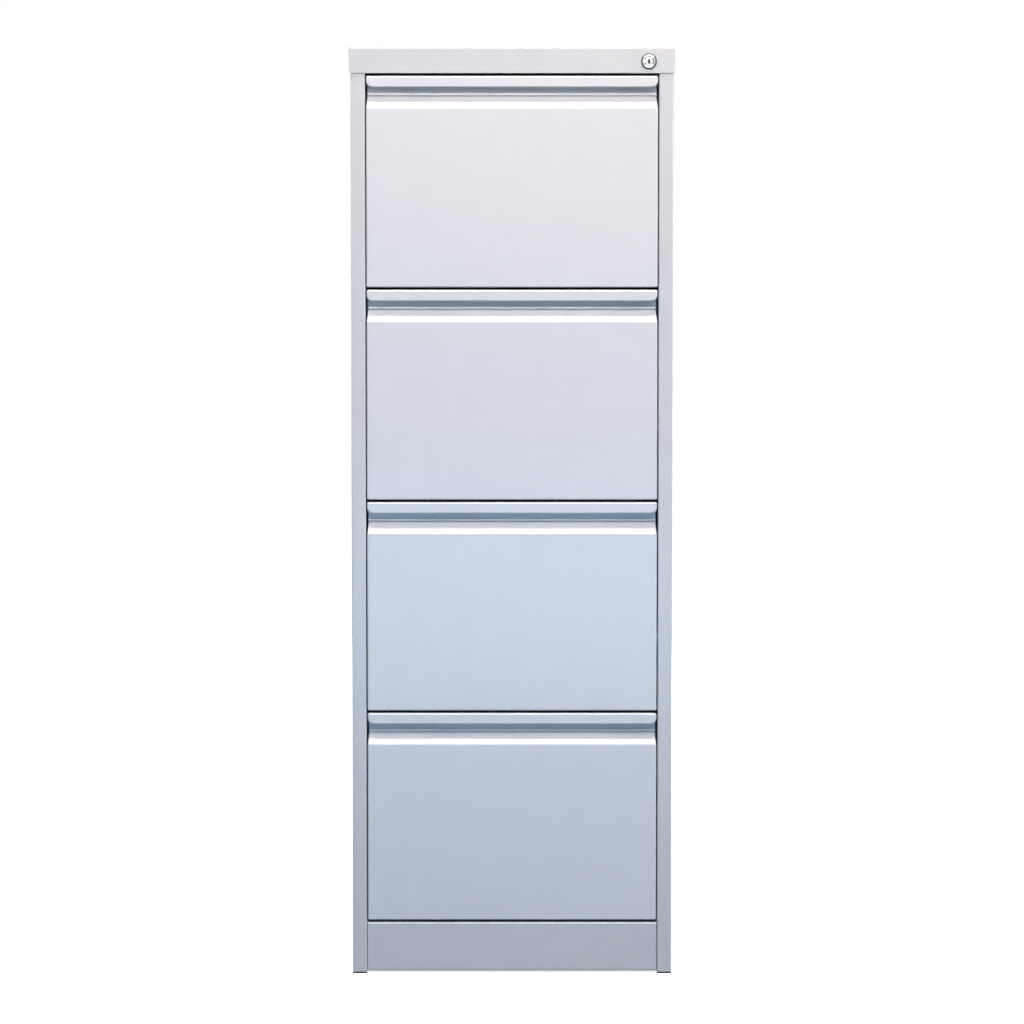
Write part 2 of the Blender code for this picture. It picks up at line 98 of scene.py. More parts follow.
# Inner panel and tray, with levels above the bottom of the drawer's front
PANEL_SCREW_X = 150 * MM
PANEL_SCREW_LEVELS = (45 * MM, 205 * MM)
HANGER_WIDTH = 7.7 * MM  # rail for hanging files, folded in along the top of each side
HANGER_DROP = 9 * MM
SWAGE_LEVELS = (186 * MM, 191 * MM, 201 * MM, 206 * MM)
SWAGE_DEPTH = 1.6 * MM
FLOOR_BEADS = (120 * MM, 270 * MM, 420 * MM)
FLOOR_BEAD_WIDTH = 18 * MM
FLOOR_BEAD_HEIGHT = 2.2 * MM
FLOOR_BEAD_END = 170 * MM
FLOOR_BEAD_TAPER = 20 * MM
TRAY_BACK_DROP = 12 * MM
TRAY_BACK_FOLD = 9 * MM
TRAY_BACK_FLANGE = 14 * MM

# Carcass
CAP_RETURN = 10.6 * MM
STILE_DEPTH = 22 * MM
STILE_RETURN = 7.5 * MM
REAR_FLANGE = 16 * MM
PAN_REAR_FOLD = 18 * MM
PLINTH_RETURN = 16 * MM
BACK_BEAD_X = 110 * MM
BACK_BEAD_WIDTH = 26 * MM
BACK_BEAD_DEPTH = 1.2 * MM
RIVETS = 7  # in each column
RIVET_X = 218.5 * MM
RIVET_LOWEST = 100 * MM
RIVET_PITCH = 193.3 * MM
SLOT_LEVELS = (100 * MM, 130 * MM, 170 * MM, 210 * MM, 250 * MM)
SLOT_SIZE = (4 * MM, 12 * MM)
SOLE_HEIGHT = 2.2 * MM
SHOE_INSET = 1.8 * MM
SHOE_LENGTH = 16.6 * MM
MARK_X = 219.5 * MM
MARK_DROP = 44 * MM
MARK_RADIUS = 3.6 * MM

# Slides, with the cages' ends from the middle member's front
RACE_LIP = 0.9 * MM
RACE_LIP_SHARE = 0.22  # of a member's width, between its open edge and the bend of its lip
BALLS_IN_ROW = 9
CAGE_MARGIN = 12 * MM
OUTER_CAGE = (268 * MM, 530 * MM)
INNER_CAGE = (6 * MM, 250 * MM)
SCREW_RADIUS = 3.4 * MM
SCREW_HEIGHT = 0.8 * MM
BUMPER_X = (198 * MM, 205.4 * MM)
BUMPER_HEIGHT = 26 * MM
BUMPER_LENGTH = 8 * MM

# Lock
LOCK_POINT = (
    (HOUSING_BOX[0].x + HOUSING_BOX[1].x) / 2,
    (HOUSING_BOX[0].z + HOUSING_BOX[1].z) / 2,
)
LOCK_AXIS = (LOCK_POINT[0], 0, LOCK_POINT[1])
HOLE_RADIUS = 9.9 * MM
PLUG_RADIUS = 6.0 * MM
PLUG_BORE = 6.35 * MM
BEZEL = (HOUSING_BOX[1].x - HOUSING_BOX[0].x) / 2 - 2.3 * MM
BEZEL_TEETH = 32
GASKET_SEAT = CAP_BOX[0].y - 0.3 * MM
GASKET_WIDTH = 2.6 * MM
NUT_RADIUS = 13.2 * MM
NUT_HEIGHT = 3.2 * MM
CAM_THROW = 8 * MM
GUIDE_X = 209.5 * MM
GUIDE_WALL = 2 * MM
GUIDE_HEIGHT = 22 * MM
GUIDE_LEVEL = 160 * MM  # above the bottom of a drawer's front

# Stage
CAMERA_DISTANCE = 6.0
CAMERA_HEIGHT = 1.1354
CAMERA_TILT = 4.5  # degrees down
CAMERA_LENS = 148.95
FLOOR_REACH = 60  # metres each way


# Sections and surfaces


def left_of(heading):
    """A heading in a plane turned a quarter to the left."""
    return Vector((-heading.y, heading.x))


def rounded_path(path, radii, steps=SOFT_STEPS):
    """Points along a path with its corners rounded, each with the normal to the right of the path."""
    points = [Vector(point) for point in path]
    first = (points[1] - points[0]).normalized()
    last = (points[-1] - points[-2]).normalized()
    made = [(points[0], -left_of(first))]
    for before, corner, after, radius in zip(points, points[1:], points[2:], radii):
        coming = (corner - before).normalized()
        going = (after - corner).normalized()
        turn = math.atan2(coming.cross(going), coming.dot(going))
        side = math.copysign(1, turn)
        start = corner - coming * radius * math.tan(abs(turn) / 2)
        centre = start + left_of(coming) * radius * side
        for step in range(steps + 1):
            heading = Matrix.Rotation(turn * step / steps, 2) @ coming
            made.append((centre - left_of(heading) * radius * side, -left_of(heading)))
    made.append((points[-1], -left_of(last)))
    return made


def folded_sheet(path, radii, thickness=SHEET, steps=BEND_STEPS):
    """Closed outline of a folded sheet lying to the left of the path, with tight radii."""
    points = [Vector(point) for point in path]
    grown = []
    for before, corner, after, tight in zip(points, points[1:], points[2:], radii):
        turn = (corner - before).cross(after - corner)
        grown.append(tight + thickness if turn > 0 else tight)
    near = rounded_path(path, grown, steps)
    far = [point - normal * thickness for point, normal in near]
    return [point for point, _ in near] + far[::-1]


def arc(centre, radius, start, end, steps):
    """Points on a circle from one angle to another, in degrees."""
    angles = [math.radians(start + (end - start) * k / steps) for k in range(steps + 1)]
    return [
        (centre[0] + radius * math.cos(a), centre[1] + radius * math.sin(a)) for a in angles
    ]


def circle(centre, radius, steps):
    """Points all round a circle."""
    return arc(centre, radius, 0, 360, steps)[:-1]


def rectangle(low, high):
    """The corners between two opposite ones."""
    return [low, (high[0], low[1]), high, (low[0], high[1])]


def mirrored(outline):
    """An outline on the other side of the cabinet."""
    return [(-point[0], point[1]) for point in outline]


def place(axis, first, second, along):
    """The point with one coordinate along an axis and the others in their usual order."""
    point = [first, second]
    point.insert("XYZ".index(axis), along)
    return point


def add_drawn_out(build, outline, axis, ends):
    """Adds a solid drawn out along an axis from a section in the other two axes."""
    near = [build.verts.new(place(axis, point[0], point[1], ends[0])) for point in outline]
    far = [build.verts.new(place(axis, point[0], point[1], ends[1])) for point in outline]
    faces = [build.faces.new(near[::-1]), build.faces.new(far)]
    for k in range(len(near)):
        after = (k + 1) % len(near)
        faces.append(build.faces.new((near[k], near[after], far[after], far[k])))
    bmesh.ops.recalc_face_normals(build, faces=faces)


def add_spun(build, profile, axis, centre, segments):
    """Adds a solid turned about an axis through centre from points of (radius, along)."""
    rings = []
    for radius, along in profile:
        if radius == 0:
            point = Vector(place(axis, 0, 0, along)) + Vector(centre)
            rings.append([build.verts.new(point)] * segments)
            continue
        ring = []
        for k in range(segments):
            turn = math.tau * k / segments
            around = (radius * math.cos(turn), radius * math.sin(turn))
            ring.append(build.verts.new(Vector(place(axis, *around, along)) + Vector(centre)))
        rings.append(ring)
    pairs = list(zip(rings, rings[1:]))
    if profile[0][0] > 0:
        pairs.append((rings[-1], rings[0]))
    faces = []
    for ring, following in pairs:
        for k in range(segments):
            after = (k + 1) % segments
            corners = [ring[k], ring[after], following[after], following[k]]
            distinct = list(dict.fromkeys(corners))
            if len(distinct) > 2:
                faces.append(build.faces.new(distinct))
    bmesh.ops.recalc_face_normals(build, faces=faces)


def add_grid(build, rows):
    """Adds the surface between rows of points. Rows and points run so that normals face out."""
    made = [[build.verts.new(point) for point in row] for row in rows]
    for row, following in zip(made, made[1:]):
        for k in range(len(row) - 1):
            build.faces.new((row[k], following[k], following[k + 1], row[k + 1]))


def ease_cut_edges(build, offset=CUT_EDGE):
    """Rounds the sharp edges as paint does."""
    sharp = [
        edge for edge in build.edges if edge.is_manifold and edge.calc_face_angle() > CUT_ANGLE
    ]
    shape = {"offset": offset, "segments": 2, "profile": 0.5, "clamp_overlap": True}
    bmesh.ops.bevel(build, geom=sharp, affect="EDGES", **shape)


def new_object(name, data):
    """A new object in the scene."""
    obj = bpy.data.objects.new(name, data)
    bpy.context.scene.collection.objects.link(obj)
    return obj


def to_mesh(name, build):
    """A smooth-shaded mesh from a bmesh."""
    mesh = bpy.data.meshes.new(name)
    build.to_mesh(mesh)
    build.free()
    mesh.shade_smooth()
    mesh.set_sharp_from_angle(angle=SMOOTH_ANGLE)
    return mesh


def drawn_out_mesh(name, outlines, axis, ends, eased=CUT_EDGE):
    """A mesh of one or more sections drawn out along an axis between the same ends."""
    build = bmesh.new()
    for outline in outlines:
        add_drawn_out(build, outline, axis, ends)
    if eased:
        ease_cut_edges(build, eased)
    return to_mesh(name, build)


def baked(mesh, modifiers):
    """The mesh with modifiers applied, each a (type, settings)."""
    holder = new_object("holder", mesh)
    for kind, settings in modifiers:
        modifier = holder.modifiers.new(kind, kind)
        for key, value in settings.items():
            setattr(modifier, key, value)
    bpy.context.view_layer.update()
    graph = bpy.context.evaluated_depsgraph_get()
    result = bpy.data.meshes.new_from_object(holder.evaluated_get(graph))
    bpy.data.objects.remove(holder)
    result.name = mesh.name
    result.shade_smooth()
    result.set_sharp_from_angle(angle=SMOOTH_ANGLE)
    return result


def thickened(mesh):
    """A sheet made from its show face, with its cut edges eased."""
    shell = {"thickness": SHEET, "offset": -1, "use_even_offset": True, "use_quality_normals": True}
    edges = {"width": CUT_EDGE, "segments": 2, "limit_method": "ANGLE", "angle_limit": CUT_ANGLE}
    return baked(mesh, [("SOLIDIFY", shell), ("BEVEL", edges)])


def cut_mesh(mesh, sections, axis, ends):
    """The mesh with holes cut by solids drawn out along an axis."""
    cutter = new_object("cutter", drawn_out_mesh("cutter", sections, axis, ends, 0))
    result = baked(mesh, [("BOOLEAN", {"object": cutter, "operation": "DIFFERENCE"})])
    bpy.data.objects.remove(cutter)
    return result


# Materials


class Shading:
    """A Principled material under construction, with short calls for its nodes."""

    def __init__(self, name, colour, roughness, metallic=0.0):
        self.material = bpy.data.materials.new(name)
        self.material.use_nodes = True
        self.nodes = self.material.node_tree.nodes
        self.links = self.material.node_tree.links
        self.shader = self.nodes["Principled BSDF"]
        self.shader.inputs["Base Color"].default_value = (*colour, 1)
        self.shader.inputs["Roughness"].default_value = roughness
        self.shader.inputs["Metallic"].default_value = metallic
        self.coordinates = self.nodes.new("ShaderNodeTexCoord").outputs["Object"]

    def stretched(self, scale):
        """Object coordinates scaled by axis."""
        mapping = self.nodes.new("ShaderNodeMapping")
        mapping.inputs["Scale"].default_value = scale
        self.links.new(self.coordinates, mapping.inputs["Vector"])
        return mapping.outputs["Vector"]

    def noise(self, scale, detail=2.0, roughness=0.5, vector=None):
        """Noise from 0 to 1, in object coordinates unless others are given."""
        texture = self.nodes.new("ShaderNodeTexNoise")
        texture.inputs["Scale"].default_value = scale
        texture.inputs["Detail"].default_value = detail
        texture.inputs["Roughness"].default_value = roughness
        self.links.new(vector or self.coordinates, texture.inputs["Vector"])
        return texture.outputs["Fac"]

    def ranged(self, value, low, high, start=0.3, end=0.7):
        """The value spread from low to high."""
        node = self.nodes.new("ShaderNodeMapRange")
        node.inputs["From Min"].default_value = start
        node.inputs["From Max"].default_value = end
        node.inputs["To Min"].default_value = low
        node.inputs["To Max"].default_value = high
        self.links.new(value, node.inputs["Value"])
        return node.outputs["Result"]

    def product(self, first, second):
        """One value times another."""
        node = self.nodes.new("ShaderNodeMath")
        node.operation = "MULTIPLY"
        self.links.new(first, node.inputs[0])
        self.links.new(second, node.inputs[1])
        return node.outputs["Value"]

    def between(self, factor, first, second):
        """A colour between two, by a factor."""
        node = self.nodes.new("ShaderNodeMix")
        node.data_type = "RGBA"
        node.inputs["A"].default_value = (*first, 1)
        node.inputs["B"].default_value = (*second, 1)
        self.links.new(factor, node.inputs["Factor"])
        return node.outputs["Result"]

    def bump(self, height, strength, distance, after=None):
        """The normal of a relief, on top of an earlier one if there is one."""
        node = self.nodes.new("ShaderNodeBump")
        node.inputs["Strength"].default_value = strength
        node.inputs["Distance"].default_value = distance
        self.links.new(height, node.inputs["Height"])
        if after is not None:
            self.links.new(after, node.inputs["Normal"])
        return node.outputs["Normal"]

    def put(self, socket, value):
        """Plugs a value into the shader."""
        self.links.new(value, self.shader.inputs[socket])


def scaled(colour, factor):
    """A colour made lighter or darker."""
    return tuple(min(1.0, channel * factor) for channel in colour)


def powder_coat(name, colour):
    """Light grey semi-gloss powder coat: faint mottling, orange peel and a fine grain."""
    shading = Shading(name, colour, 0.3)
    cloud = shading.noise(19, 4.0, 0.6)
    grain = shading.noise(1500, 2.0, 0.6)
    tone = shading.product(
        shading.ranged(cloud, 0.0, 1.0, 0.25, 0.75), shading.ranged(grain, 0.6, 1.0)
    )
    shading.put(
        "Base Color", shading.between(tone, scaled(colour, 0.97), scaled(colour, 1.02))
    )
    peel = shading.noise(420, 2.5, 0.55)
    shading.put("Roughness", shading.ranged(shading.noise(160, 2.0), 0.27, 0.35))
    coarse = shading.bump(peel, 0.35, 0.05 * MM)
    shading.put("Normal", shading.bump(grain, 0.2, 0.02 * MM, coarse))
    shading.shader.inputs["Coat Weight"].default_value = 0.3
    shading.shader.inputs["Coat Roughness"].default_value = 0.2
    return shading.material


def zinc_plate():
    """Bright zinc on rolled steel: fine streaks along the rolling direction and cloudy patches."""
    shading = Shading("zinc_plate", (0.70, 0.71, 0.73), 0.3, 1.0)
    streaks = shading.noise(1.0, 3.0, 0.6, shading.stretched((900, 24, 900)))
    patches = shading.noise(45, 3.0, 0.65)
    tone = shading.product(shading.ranged(streaks, 0.5, 1.0), shading.ranged(patches, 0.6, 1.0))
    shading.put("Base Color", shading.between(tone, (0.64, 0.65, 0.67), (0.86, 0.86, 0.87)))
    shading.put("Roughness", shading.ranged(patches, 0.30, 0.42))
    shading.put("Normal", shading.bump(streaks, 0.25, 0.02 * MM))
    return shading.material


def chrome():
    """Polished chrome plate with hair scratches from keys and cloths."""
    shading = Shading("chrome", (0.90, 0.90, 0.91), 0.12, 1.0)
    scratches = shading.noise(1.0, 2.0, 0.7, shading.stretched((400, 400, 6000)))
    shading.put("Roughness", shading.ranged(scratches, 0.10, 0.22))
    shading.put("Normal", shading.bump(scratches, 0.12, 0.01 * MM))
    return shading.material


def ball_steel():
    """Hardened steel of the slides' balls, with a film of grease."""
    shading = Shading("ball_steel", (0.78, 0.77, 0.74), 0.12, 1.0)
    film = shading.noise(700, 2.0)
    shading.put("Roughness", shading.ranged(film, 0.08, 0.26))
    shading.put("Base Color", shading.between(film, (0.62, 0.59, 0.53), (0.82, 0.82, 0.81)))
    return shading.material


def black_plastic():
    """Moulded black plastic with a fine spark-eroded texture."""
    shading = Shading("black_plastic", (0.020, 0.020, 0.022), 0.5)
    texture = shading.noise(1100, 2.0, 0.6)
    dust = shading.noise(60, 3.0, 0.6)
    shading.put("Base Color", shading.between(dust, (0.014, 0.014, 0.015), (0.045, 0.044, 0.043)))
    shading.put("Roughness", shading.ranged(texture, 0.42, 0.62))
    shading.put("Normal", shading.bump(texture, 0.35, 0.05 * MM))
    return shading.material


PAINT = powder_coat("paint_grey", (0.655, 0.645, 0.665))
# The same powder coat made a shade darker, as painted shade: the cap, side sheets, back, base,
# uprights, rivets, weld mark, liners and trays take it.
PAINT_DARKENED_AS_PAINTED_SHADE = powder_coat("paint_grey_painted_shade", (0.575, 0.566, 0.580))
ZINC = zinc_plate()
CHROME = chrome()
BALLS = ball_steel()
PLASTIC = black_plastic()


def add_piece(name, mesh, material, body, location=(0, 0, 0), node=None):
    """Puts a mesh in the scene as a piece that rides on a body and may stand for a CAD node."""
    if not mesh.materials:
        mesh.materials.append(material)
    piece = new_object(name, mesh)
    piece.location = location
    flats = piece.modifiers.new("flat_faces_stay_flat", "WEIGHTED_NORMAL")
    flats.keep_sharp = True
    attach(piece, body)
    if node:
        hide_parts(node)


def drawer_origin(number):
    """The bottom of a drawer's front face, on the cabinet's middle."""
    return Vector((0, FACE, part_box(f"drawer_{number}_front")[0].z))


# Carcass


def add_cap_shell(build):
    """Adds the cap's show faces: a box that is open underneath, with its upper edges rounded."""
    low, high = CAP_BOX
    middle = (low + high) / 2
    matrix = Matrix.Translation(middle) @ Matrix.Diagonal((*(high - low), 1))
    bmesh.ops.create_cube(build, size=1, matrix=matrix)
    under = [face for face in build.faces if face.normal.z < -0.5]
    bmesh.ops.delete(build, geom=under, context="FACES_ONLY")
    folds = [edge for edge in build.edges if max(vert.co.z for vert in edge.verts) > middle.z]
    bmesh.ops.bevel(
        build, geom=folds, offset=SIDE_BEND, segments=BEND_STEPS, profile=0.5, affect="EDGES"
    )


def add_cap_return(build):
    """Adds the strip folded in under the cap's front, between the side panels."""
    low = CAP_BOX[0]
    end = BODY_BOX[0].x - 1 * MM
    for x in (-end, end):
        bmesh.ops.bisect_plane(
            build,
            geom=build.verts[:] + build.edges[:] + build.faces[:],
            plane_co=(x, 0, 0),
            plane_no=(1, 0, 0),
        )
    foot = Vector((0, low.y, low.z))
    front = min(
        build.edges, key=lambda edge: (edge.verts[0].co + edge.verts[1].co - 2 * foot).length
    )
    moved = bmesh.ops.extrude_edge_only(build, edges=[front])["geom"]
    verts = [item for item in moved if isinstance(item, bmesh.types.BMVert)]
    bmesh.ops.translate(build, verts=verts, vec=(0, CAP_RETURN, 0))


def top_cap():
    """Lid with an apron all round, rounded edges, a return under its front and the lock's hole."""
    build = bmesh.new()
    add_cap_shell(build)
    add_cap_return(build)
    hole = circle(LOCK_POINT, HOLE_RADIUS, 48)
    front = CAP_BOX[0].y
    mesh = thickened(to_mesh("top_cap", build))
    mesh = cut_mesh(mesh, [hole], "Y", (front - 5 * MM, front + 5 * MM))
    add_piece("top_cap_lid", mesh, PAINT_DARKENED_AS_PAINTED_SHADE, "cabinet", node="top_cap")


def side_panels():
    """Side sheets with a boxed stile at the front and a flange at the back."""
    low, high = BODY_BOX
    path = [
        (low.x + STILE_RETURN, low.y + STILE_DEPTH),
        (low.x, low.y + STILE_DEPTH),
        (low.x, low.y),
        (high.x, low.y),
        (high.x, high.y),
        (high.x - REAR_FLANGE, high.y),
    ]
    outline = folded_sheet(path, [BEND] * 4)
    for side, word in SIDES:
        section = outline if side > 0 else mirrored(outline)
        mesh = drawn_out_mesh(f"{word}_side", [section], "Z", (low.z, high.z))
        name = f"{word}_side_sheet"
        add_piece(name, mesh, PAINT_DARKENED_AS_PAINTED_SHADE, "cabinet", node=f"{word}_side_panel")


def back_panel():
    """Back sheet with two pressed beads, riveted to the rear flanges."""
    low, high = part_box("back_panel")
    path = [(low.x, high.y)]
    for side, _ in SIDES:
        x = side * BACK_BEAD_X
        path += [
            (x - BACK_BEAD_WIDTH / 2, high.y),
            (x - BACK_BEAD_WIDTH / 4, high.y - BACK_BEAD_DEPTH),
            (x + BACK_BEAD_WIDTH / 4, high.y - BACK_BEAD_DEPTH),
            (x + BACK_BEAD_WIDTH / 2, high.y),
        ]
    path.append((high.x, high.y))
    outline = folded_sheet(path, [4 * MM] * (len(path) - 2), steps=3)
    mesh = drawn_out_mesh("back", [outline], "Z", (low.z, high.z))
    add_piece("back_sheet", mesh, PAINT_DARKENED_AS_PAINTED_SHADE, "cabinet", node="back_panel")


def back_rivets():
    """Blind rivets in a column on each rear flange."""
    profile = [
        (0, -1.5 * MM),
        (1.5 * MM, -1.5 * MM),
        (1.5 * MM, 0),
        (3.1 * MM, 0),
        (3.2 * MM, 0.25 * MM),
        (2.7 * MM, 0.75 * MM),
        (1.6 * MM, 1.05 * MM),
        (1.05 * MM, 1.05 * MM),
        (0.95 * MM, 0.55 * MM),
        (0, 0.5 * MM),
    ]
    build = bmesh.new()
    for side, _ in SIDES:
        for k in range(RIVETS):
            centre = (side * RIVET_X, BODY_BOX[1].y, RIVET_LOWEST + RIVET_PITCH * k)
            add_spun(build, profile, "Y", centre, 20)
    add_piece("back_rivets", to_mesh("back_rivets", build), PAINT_DARKENED_AS_PAINTED_SHADE, "cabinet")


def base_pan():
    """Cabinet bottom with the plinth folded down at its front."""
    low, high = PAN_BOX
    path = [
        (high.y, high.z - PAN_REAR_FOLD),
        (high.y, high.z),
        (low.y, high.z),
        (low.y, low.z),
        (low.y + PLINTH_RETURN, low.z),
    ]
    outline = folded_sheet(path, [BEND] * 3)
    mesh = drawn_out_mesh("base_pan", [outline], "X", (low.x, high.x))
    add_piece("base_and_plinth", mesh, PAINT_DARKENED_AS_PAINTED_SHADE, "cabinet", node="base_pan")


def upright_slots(middle):
    """Sections of the slots punched in an upright, about the middle of its web."""
    width, height = SLOT_SIZE
    slots = []
    for number in DRAWERS:
        base = drawer_origin(number).z
        for level in SLOT_LEVELS:
            low = (middle - width / 2, base + level)
            slots.append(rectangle(low, (middle + width / 2, base + level + height)))
    return slots


def uprights():
    """Punched channels that the slides are screwed to."""
    for end in ("front", "rear"):
        low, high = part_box(f"{end}_right_upright")
        path = [(high.x, high.y), (low.x, high.y), (low.x, low.y), (high.x, low.y)]
        outline = folded_sheet(path, [BEND] * 2, RAIL_SHEET)
        slots = upright_slots((low.y + high.y) / 2)
        for side, word in SIDES:
            section = outline if side > 0 else mirrored(outline)
            mesh = drawn_out_mesh(f"{end}_{word}", [section], "Z", (low.z, high.z))
            ends = sorted((side * (low.x - 2 * MM), side * (low.x + 4 * MM)))
            mesh = cut_mesh(mesh, slots, "X", ends)
            node = f"{end}_{word}_upright"
            add_piece(f"{end}_{word}_channel", mesh, PAINT_DARKENED_AS_PAINTED_SHADE, "cabinet", node=node)


def glides():
    """Moulded shoes under the corners: a sole, and a plug that fills the corner above it."""
    for end in ("front", "rear"):
        for _, word in SIDES:
            node = f"{end}_{word}_glide"
            low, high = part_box(node)
            build = bmesh.new()
            sole = rectangle((low.x, low.y), (high.x, high.y))
            add_drawn_out(build, sole, "Z", (low.z, low.z + SOLE_HEIGHT))
            near = low.y + SHOE_INSET
            if end == "rear":
                near = high.y - SHOE_INSET - SHOE_LENGTH
            plug = rectangle((low.x + SHOE_INSET, near), (high.x - SHOE_INSET, near + SHOE_LENGTH))
            add_drawn_out(build, plug, "Z", (low.z + 1.4 * MM, high.z))
            ease_cut_edges(build, 0.5 * MM)
            mesh = to_mesh(node, build)
            add_piece(f"{end}_{word}_shoe", mesh, PLASTIC, "cabinet", node=node)


# Drawer fronts


def turned_row(point, normal, share, flat, depth):
    """A row of points across a sheet's show face, from its left edge to its right one. Both edges
    turn back by a share of a right angle and then run on by a depth."""
    outward = Vector((0, normal.x, normal.y))
    centre = Vector((0, point.x, point.y)) - outward * SIDE_BEND
    right = []
    for step in range(BEND_STEPS + 1):
        turn = math.pi / 2 * share * step / BEND_STEPS
        out = Vector((math.sin(turn), 0, 0)) + outward * math.cos(turn)
        right.append(centre + out * SIDE_BEND + Vector((flat, 0, 0)))
    right.append(right[-1] - outward * depth)
    left = [Vector((-corner.x, corner.y, corner.z)) for corner in right[::-1]]
    return left + right


def front_mesh():
    """Pressed drawer front: leg, cove, slope, roll, face, returns and rounded side edges."""
    top = FRONT_HEIGHT
    path = [
        (LEG_Y, top - 5 * MM),
        (LEG_Y, top - ROLL_DROP + LEG_Y),
        (0, top - ROLL_DROP),
        (0, 0),
        (FRONT_RETURN, 0),
    ]
    rows = []
    for point, normal in rounded_path(path, [COVE_RADIUS, ROLL_RADIUS, SIDE_BEND]):
        share = (top - point.y - RECESS_TAPER[0]) / (RECESS_TAPER[1] - RECESS_TAPER[0])
        share = min(1, max(0, share))
        flat = FRONT_SIDE - SIDE_BEND - RECESS_IN * (1 - share)
        on_face = share == 1 and normal.x < -0.999
        depth = FRONT_RETURN - SIDE_BEND if on_face else 0
        rows.append(turned_row(point, normal, share, flat, depth))
    build = bmesh.new()
    add_grid(build, rows)
    bmesh.ops.remove_doubles(build, verts=build.verts, dist=WELD)
    return thickened(to_mesh("front", build))


def lip_boundary():
    """Points around the lip's flat, with the direction out of it, from the left top to the right."""
    top = FRONT_HEIGHT
    centre = Vector((FRONT_SIDE - LIP_CORNER, top - LIP_HEIGHT + LIP_CORNER))
    inset = LIP_CORNER - SIDE_BEND
    right = []
    for step in range(SOFT_STEPS + 1):
        angle = math.radians(-90 + 90 * step / SOFT_STEPS)
        out = Vector((math.cos(angle), math.sin(angle)))
        right.append((centre + out * inset, out))
    right.append((Vector((FRONT_SIDE - SIDE_BEND, top - LIP_TOP_RADIUS)), Vector((1, 0))))
    left = [
        (Vector((-point.x, point.y)), Vector((-out.x, out.y))) for point, out in right[::-1]
    ]
    return left + right


def add_lip(build):
    """Adds the lip's flat with the edges that turn back around it."""
    boundary = lip_boundary()
    build.faces.new([build.verts.new((point.x, 0, point.y)) for point, _ in boundary])
    bend = [math.pi / 2 * step / BEND_STEPS for step in range(BEND_STEPS + 1)]
    reaches = [(SIDE_BEND * math.sin(turn), SIDE_BEND * (1 - math.cos(turn))) for turn in bend]
    reaches.append((SIDE_BEND, LIP_RETURN))
    rows = []
    for reach, depth in reaches:
        rows.append(
            [(point.x + out.x * reach, depth, point.y + out.y * reach) for point, out in boundary]
        )
    add_grid(build, rows)


def pull_mesh():
    """Pull channel: a lip with turned edges and rounded corners, a top, and a leg with a hem."""
    top = FRONT_HEIGHT
    hem = HEM_SIZE / 2 - 0.05 * MM
    path = [
        (PULL_DEPTH - HEM_SIZE / 2, top - HEM_BOTTOM + HEM_SIZE),
        (PULL_DEPTH - HEM_SIZE, top - HEM_BOTTOM + HEM_SIZE),
        (PULL_DEPTH - HEM_SIZE, top - HEM_BOTTOM),
        (PULL_DEPTH, top - HEM_BOTTOM),
        (PULL_DEPTH, top),
        (0, top),
        (0, top - LIP_TOP_RADIUS),
    ]
    rows = []
    round_path = rounded_path(path, [hem, hem, hem, SIDE_BEND, LIP_TOP_RADIUS])[:-1]
    for point, normal in round_path:
        share = 0
        if point.x < LIP_TOP_RADIUS:
            share = max(0, 1 - math.degrees(math.atan2(normal.y, -normal.x)) / 90)
        on_leg = point.x > PULL_DEPTH - HEM_SIZE - 1 * MM
        flat = FRONT_SIDE - SIDE_BEND - RECESS_IN * on_leg
        depth = LIP_RETURN - SIDE_BEND if share > 0.999 else 0
        rows.append(turned_row(point, normal, share, flat, depth))
    build = bmesh.new()
    add_grid(build, rows)
    add_lip(build)
    bmesh.ops.remove_doubles(build, verts=build.verts, dist=WELD)
    return thickened(to_mesh("pull", build))


def inner_panel_mesh():
    """Liner behind the front: a sheet with folded sides, and four screw heads on its inner face."""
    origin = drawer_origin(1)
    low = PANEL_BOX[0] - origin
    high = PANEL_BOX[1] - origin
    path = [(high.x, low.y), (high.x, high.y), (low.x, high.y), (low.x, low.y)]
    outline = folded_sheet(path, [BEND] * 2)
    build = bmesh.new()
    add_drawn_out(build, outline, "Z", (low.z, high.z))
    ease_cut_edges(build)
    for side, _ in SIDES:
        for z in PANEL_SCREW_LEVELS:
            add_screw(build, (side * PANEL_SCREW_X, high.y, z), "Y", 4.4 * MM, 1.8 * MM)
    return to_mesh("inner_panel", build)


def add_screw(build, centre, axis, radius, height):
    """Adds a pan head with a recess, standing on a face. A negative height points down the axis."""
    profile = [
        (0, 0),
        (radius, 0),
        (radius, 0.35 * height),
        (0.86 * radius, 0.8 * height),
        (0.6 * radius, height),
        (0.34 * radius, height),
        (0.26 * radius, 0.55 * height),
        (0, 0.5 * height),
    ]
    add_spun(build, profile, axis, centre, 24)


# Tray


def swell(value, centre, half, height):
    """Smooth bump of a height about a centre."""
    distance = abs(value - centre) / half
    return height * 0.5 * (1 + math.cos(math.pi * distance)) if distance < 1 else 0


def tray_section(low, high):
    """Points of (x, z) around the tray's outside, from its right hanging rail to its left one."""
    path = [
        (high.x - HANGER_WIDTH, high.z - HANGER_DROP),
        (high.x - HANGER_WIDTH, high.z),
        (high.x, high.z),
        (high.x, SWAGE_LEVELS[3]),
        (high.x - SWAGE_DEPTH, SWAGE_LEVELS[2]),
        (high.x - SWAGE_DEPTH, SWAGE_LEVELS[1]),
        (high.x, SWAGE_LEVELS[0]),
        (high.x, low.z),
        (0, low.z),
    ]
    radii = [2.6 * MM, 2.6 * MM, 4 * MM, 3 * MM, 3 * MM, 4 * MM, 2.4 * MM]
    half = [point for point, _ in rounded_path(path, radii, BEND_STEPS)][:-1]
    taper = [FLOOR_BEAD_END - FLOOR_BEAD_TAPER * part for part in (0, 0.25, 0.75, 1)]
    half += [Vector((x, low.z)) for x in taper + [80 * MM, 0]]
    return half + [Vector((-point.x, point.y)) for point in half[-2::-1]]


